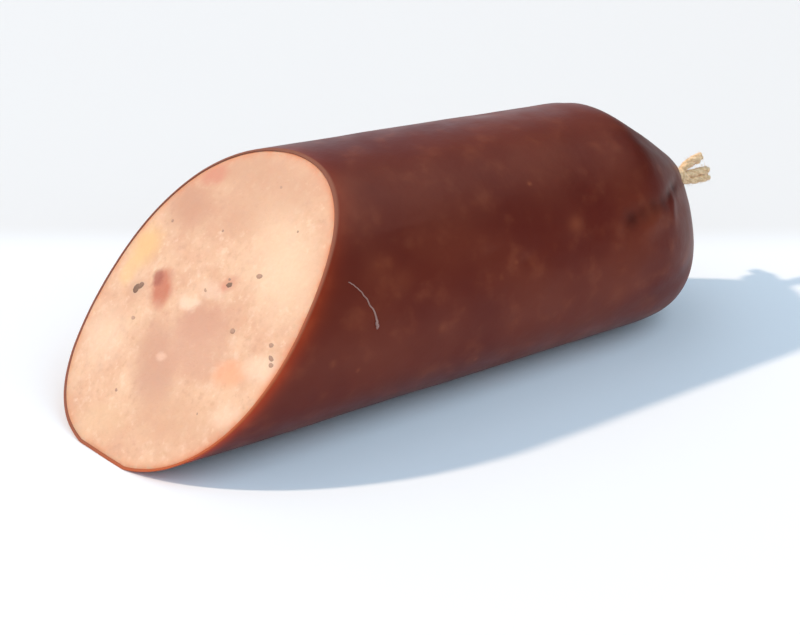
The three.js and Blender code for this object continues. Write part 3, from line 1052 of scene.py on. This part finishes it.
paths = [winding_path(), knot_path()]
for steps in TWINE_ENDS:
    paths.append(smooth_path([KNOT + np.array(step) for step in steps]))
print("Twine length in the tie:",
      round(sum(np.linalg.norm(np.diff(p, axis=0), axis=1).sum() for p in paths)), "mm")

# %% [markdown]
# The tree below works in this order. It copies the curve once for each ply, pushes each copy
# sideways by an angle that grows with the length, thickens it, roughens it, and plants fibres. The
# fibres are copies of one bent hair, which are made real at the end.

# %% Twine from the paths


def twine_material(name, light, dark):
    """Dry mottled cotton with a little sheen."""
    material, tree, shader = new_material(name)
    place = wire(tree, "ShaderNodeTexCoord").outputs["Object"]
    tone = mottling(tree, place, 900, 4, 0.6)
    colour = blend_colour(tree, ramp_between(tree, tone, 0.35, 0.65), dark, light)
    tree.links.new(colour, shader.inputs["Base Color"])
    shader.inputs["Roughness"].default_value = 0.9
    shader.inputs["Sheen Weight"].default_value = 0.25
    bump = wire(tree, "ShaderNodeBump", {
        "Height": mottling(tree, place, 3500, 2), "Strength": 0.6, "Distance": 0.00006})
    tree.links.new(bump.outputs[0], shader.inputs["Normal"])
    return material


def twine_tree():
    """A Geometry Nodes tree that lays plies along curves and plants short fibres on them."""
    tree, start, end = new_tree("laid_twine", [
        ("Plies", "NodeSocketInt", 3), ("Ply Radius", "NodeSocketFloat", 0.0006),
        ("Lay Radius", "NodeSocketFloat", 0.0006), ("Lay Length", "NodeSocketFloat", 0.008),
        ("Fibres Per Area", "NodeSocketFloat", 1.0e6), ("Seed", "NodeSocketInt", 5),
        ("Ply", "NodeSocketMaterial", None), ("Fibre", "NodeSocketMaterial", None)])
    given = start.outputs
    fine = wire(tree, "GeometryNodeResampleCurve", {"Curve": given[0], "Length": 0.00025},
                mode="LENGTH")
    plies = wire(tree, "GeometryNodeDuplicateElements", {
        "Geometry": fine.outputs[0], "Amount": given["Plies"]}, domain="SPLINE")
    length = wire(tree, "GeometryNodeSplineParameter").outputs["Length"]
    share = arithmetic(tree, "DIVIDE", plies.outputs["Duplicate Index"], given["Plies"])
    turns = arithmetic(tree, "ADD", arithmetic(tree, "DIVIDE", length, given["Lay Length"]), share)
    angle = arithmetic(tree, "MULTIPLY", turns, 2 * math.pi)
    normal = wire(tree, "GeometryNodeInputNormal").outputs[0]
    tangent = wire(tree, "GeometryNodeInputTangent").outputs[0]
    side = wire(tree, "ShaderNodeVectorMath", {0: tangent, 1: normal}, operation="CROSS_PRODUCT")
    up_part = scaled(tree, normal, arithmetic(tree, "COSINE", angle))
    side_part = scaled(tree, side.outputs[0], arithmetic(tree, "SINE", angle))
    both = wire(tree, "ShaderNodeVectorMath", {0: up_part, 1: side_part}, operation="ADD")
    offset = scaled(tree, both.outputs[0], given["Lay Radius"])
    laid = wire(tree, "GeometryNodeSetPosition", {"Geometry": plies.outputs[0], "Offset": offset})
    ring = wire(tree, "GeometryNodeCurvePrimitiveCircle", {
        "Resolution": 9, "Radius": given["Ply Radius"]})
    body = wire(tree, "GeometryNodeCurveToMesh", {
        "Curve": laid.outputs[0], "Profile Curve": ring.outputs[0], "Fill Caps": True})
    fuzz_noise = wire(tree, "ShaderNodeTexNoise", {"Scale": 1400.0, "Detail": 1.0})
    fuzz = arithmetic(tree, "MULTIPLY", arithmetic(tree, "SUBTRACT", fuzz_noise.outputs[0], 0.5), 0.00028)
    out = scaled(tree, wire(tree, "GeometryNodeInputNormal").outputs[0], fuzz)
    worn = wire(tree, "GeometryNodeSetPosition", {"Geometry": body.outputs[0], "Offset": out})
    cotton = wire(tree, "GeometryNodeSetMaterial", {
        "Geometry": worn.outputs[0], "Material": given["Ply"]})
    roots = wire(tree, "GeometryNodeDistributePointsOnFaces", {
        "Mesh": worn.outputs[0], "Density": given["Fibres Per Area"], "Seed": given["Seed"]})
    bend = wire(tree, "GeometryNodeCurveQuadraticBezier", {
        "Resolution": 4, "Start": (0, 0, 0), "Middle": (0.0001, 0, 0.0006), "End": (0.0006, 0, 0.0009)})
    thread = wire(tree, "GeometryNodeCurvePrimitiveCircle", {"Resolution": 3, "Radius": 0.00003})
    hair = wire(tree, "GeometryNodeCurveToMesh", {
        "Curve": bend.outputs[0], "Profile Curve": thread.outputs[0], "Fill Caps": True})
    spin = wire(tree, "FunctionNodeRandomValue", {
        0: (-1.1, -1.1, -3.1), 1: (1.1, 1.1, 3.1), "Seed": given["Seed"]}, data_type="FLOAT_VECTOR")
    turned = wire(tree, "FunctionNodeRotateRotation", {
        "Rotation": roots.outputs["Rotation"], "Rotate By": spin.outputs[0]}, rotation_space="LOCAL")
    scale = wire(tree, "FunctionNodeRandomValue", {2: 0.5, 3: 1.3, "Seed": given["Seed"]})
    hairs = wire(tree, "GeometryNodeInstanceOnPoints", {
        "Points": roots.outputs["Points"], "Instance": hair.outputs[0],
        "Rotation": turned.outputs[0], "Scale": scale.outputs[1]})
    real = wire(tree, "GeometryNodeRealizeInstances", {"Geometry": hairs.outputs[0]})
    fibres = wire(tree, "GeometryNodeSetMaterial", {
        "Geometry": real.outputs[0], "Material": given["Fibre"]})
    joined = tree.nodes.new("GeometryNodeJoinGeometry")
    tree.links.new(cotton.outputs[0], joined.inputs[0])
    tree.links.new(fibres.outputs[0], joined.inputs[0])
    tree.links.new(joined.outputs[0], end.inputs[0])
    return tree


def curve_object(name, lines):
    """One curve object holding a straight-segment spline for each line of points."""
    curve = bpy.data.curves.new(name, "CURVE")
    curve.dimensions = "3D"
    for line in lines:
        spline = curve.splines.new("POLY")
        spline.points.add(len(line) - 1)
        flat = np.concatenate([to_frame(line), np.ones((len(line), 1))], 1)
        spline.points.foreach_set("co", flat.ravel())
    result = bpy.data.objects.new(name, curve)
    bpy.context.scene.collection.objects.link(result)
    return result


cotton = twine_material("cotton_twine", (0.93, 0.62, 0.35), (0.70, 0.42, 0.21))
lint = twine_material("cotton_fibre", (0.93, 0.66, 0.42), (0.80, 0.54, 0.32))
twine = grown("twine_tie", curve_object("twine_paths", paths), twine_tree(), {
    "Plies": 3, "Ply Radius": 0.66 * TWINE_RADIUS * MM, "Lay Radius": 0.42 * TWINE_RADIUS * MM,
    "Lay Length": 11 * MM, "Fibres Per Area": 0.8e6, "Seed": 5, "Ply": cotton, "Fibre": lint})
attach(twine, "root")
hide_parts("twine_tie")
print("Twine:", len(twine.data.polygons), "faces")

# %% [markdown]
# ## A loose thread of casing
# A pale thread of torn skin clings to the front, near the slice. It is a thin bent tube, thicker at
# its lower end, half sunk into the casing.

# %% Loose thread
THREAD = ((27.5, 158.4, 0.12), (29.3, 161.5, 0.15), (31.0, 166.0, 0.17), (32.3, 171.5, 0.20),
          (32.9, 176.5, 0.27), (33.1, 179.2, 0.40), (33.2, 180.6, 0.20))


def thread_material():
    """Pale torn skin."""
    material, tree, shader = new_material("torn_skin")
    place = wire(tree, "ShaderNodeTexCoord").outputs["Object"]
    tone = mottling(tree, place, 700, 3)
    colour = blend_colour(tree, tone, (0.26, 0.11, 0.085), (0.44, 0.25, 0.20))
    tree.links.new(colour, shader.inputs["Base Color"])
    shader.inputs["Roughness"].default_value = 0.45
    return material


def tube(path, radii, sides=8):
    """Closed tube round a path of points. Returns its points and faces."""
    forward = np.gradient(path, axis=0)
    forward /= np.linalg.norm(forward, axis=1, keepdims=True)
    side = np.cross(forward, (0.0, 0.0, 1.0))
    side /= np.linalg.norm(side, axis=1, keepdims=True)
    up = np.cross(side, forward)
    angle = np.arange(sides) * 2 * np.pi / sides
    rings = (path[:, None] + np.asarray(radii)[:, None, None] * (
        side[:, None] * np.cos(angle)[:, None] + up[:, None] * np.sin(angle)[:, None]))
    count = len(path) * sides
    points = np.concatenate([rings.reshape(-1, 3), path[:1], path[-1:]])
    faces = [*grid_faces(len(path), sides, flip=True), *fan_faces(np.arange(sides), count),
             *fan_faces(np.arange(sides) + count - sides, count + 1, flip=True)]
    return points, faces


def on_skin(x, degrees, lift):
    """A point of the finished skin at a place along x and an angle, lifted along its normal."""
    column = round(degrees / 360 * COLUMNS) % COLUMNS
    share = degrees / 360 * COLUMNS
    low = int(share) % COLUMNS
    high = (low + 1) % COLUMNS
    rows = [np.abs(skin[:, c, 0] - x).argmin() for c in (low, high)]
    mix = share - int(share)
    point = skin[rows[0], low] * (1 - mix) + skin[rows[1], high] * mix
    return point + skin_normals[rows[0], column] * lift


fine_thread = smooth_path(THREAD, 60)
thread_path = np.array([on_skin(x, degrees, 0.35 * radius) for x, degrees, radius in fine_thread])
for _ in range(3):
    thread_path[1:-1] = (thread_path[:-2] + 2 * thread_path[1:-1] + thread_path[2:]) / 4
thread_points, thread_faces = tube(thread_path, fine_thread[:, 2])
thread = mesh_piece("loose_thread", thread_points, thread_faces, thread_material())
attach(thread, "root")
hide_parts("casing")
print("Loose thread:", len(thread.data.polygons), "faces")

# %% [markdown]
# ## Floor and light
# A wide pale board carries the sausage. It is a warm white near the front and turns a little cooler
# further back, over a soft band. Low sun from behind on the left makes the slice glow and throws the
# shadow forward to the right. The sky and one wide blue fill from the front light the shadow side.
# A glossy skin would mirror that fill as a grey veil, so the fill is left out of reflections and the
# sky is dark towards the front right, as it is beside a wall. What the skin does mirror is a wide
# soft shine from overhead. That lamp is left out of the diffuse light, so it adds gloss only.

# %% Floor
COOL_FROM = 0.070
COOL_TO = 0.100
AWAY = (0.524, 0.852, 0.0)

floor_mesh = bpy.data.meshes.new("floor")
floor_mesh.from_pydata([(-3, -3, 0), (3, -3, 0), (3, 3, 0), (-3, 3, 0)], [], [(0, 1, 2, 3)])
floor = bpy.data.objects.new("floor", floor_mesh)
bpy.context.scene.collection.objects.link(floor)
floor_material, floor_tree, floor_shader = new_material("pale_board")
floor_place = wire(floor_tree, "ShaderNodeTexCoord").outputs["Object"]
away = wire(floor_tree, "ShaderNodeVectorMath", {0: floor_place, 1: AWAY}, operation="DOT_PRODUCT")
cool = ramp_between(floor_tree, away.outputs["Value"], COOL_FROM, COOL_TO)
tint = blend_colour(floor_tree, cool, (0.92, 0.875, 0.855), (0.80, 0.740, 0.700))
floor_tree.links.new(tint, floor_shader.inputs["Base Color"])
floor_shader.inputs["Roughness"].default_value = 0.75
floor_mesh.materials.append(floor_material)
print("Floor turns cooler from", COOL_FROM, "to", COOL_TO, "m behind the middle")

# %% Light
SUN_FROM = (-0.58, 0.42, 0.70)
FILL_FROM = (0.32, -0.64, 0.70)
SHINE_FROM = (0.12, -0.12, 0.98)
SKY_LOW = (0.80, 0.90, 1.00)
SKY_HIGH = (0.70, 0.85, 1.05)
DARK_TOWARDS = (0.72, -0.48, 0.50)


def far_light(name, direction, energy, spread, colour):
    """A light from one direction, as wide across the sky as its spread in degrees."""
    light = bpy.data.objects.new(name, bpy.data.lights.new(name, "SUN"))
    light.data.energy = energy
    light.data.angle = math.radians(spread)
    light.data.color = colour
    light.rotation_euler = Vector(direction).to_track_quat("Z", "Y").to_euler()
    bpy.context.scene.collection.objects.link(light)
    return light


far_light("sun", SUN_FROM, 2.20, 3, (1.0, 0.85, 0.68))
fill = far_light("blue_fill", FILL_FROM, 2.2, 70, (0.54, 0.79, 1.0))
fill.visible_glossy = False
shine = far_light("sky_shine", SHINE_FROM, 2.0, 70, (1.0, 0.94, 0.86))
shine.visible_diffuse = False

world = bpy.data.worlds.new("sky")
bpy.context.scene.world = world
world.use_nodes = True
sky = world.node_tree
direction = wire(sky, "ShaderNodeTexCoord").outputs["Generated"]
height = wire(sky, "ShaderNodeSeparateXYZ", {0: direction}).outputs["Z"]
colour = blend_colour(sky, ramp_between(sky, height, 0.0, 0.8), SKY_LOW, SKY_HIGH)
facing = wire(sky, "ShaderNodeVectorMath", {0: direction, 1: DARK_TOWARDS}, operation="DOT_PRODUCT")
dark = arithmetic(sky, "MULTIPLY", ramp_between(sky, facing.outputs["Value"], 0.10, 0.60), 0.92)
colour = blend_colour(sky, dark, colour, (0.0, 0.0, 0.0))
background = sky.nodes["Background"]
sky.links.new(colour, background.inputs["Color"])
background.inputs["Strength"].default_value = 0.95
bpy.context.scene.view_settings.view_transform = "Standard"
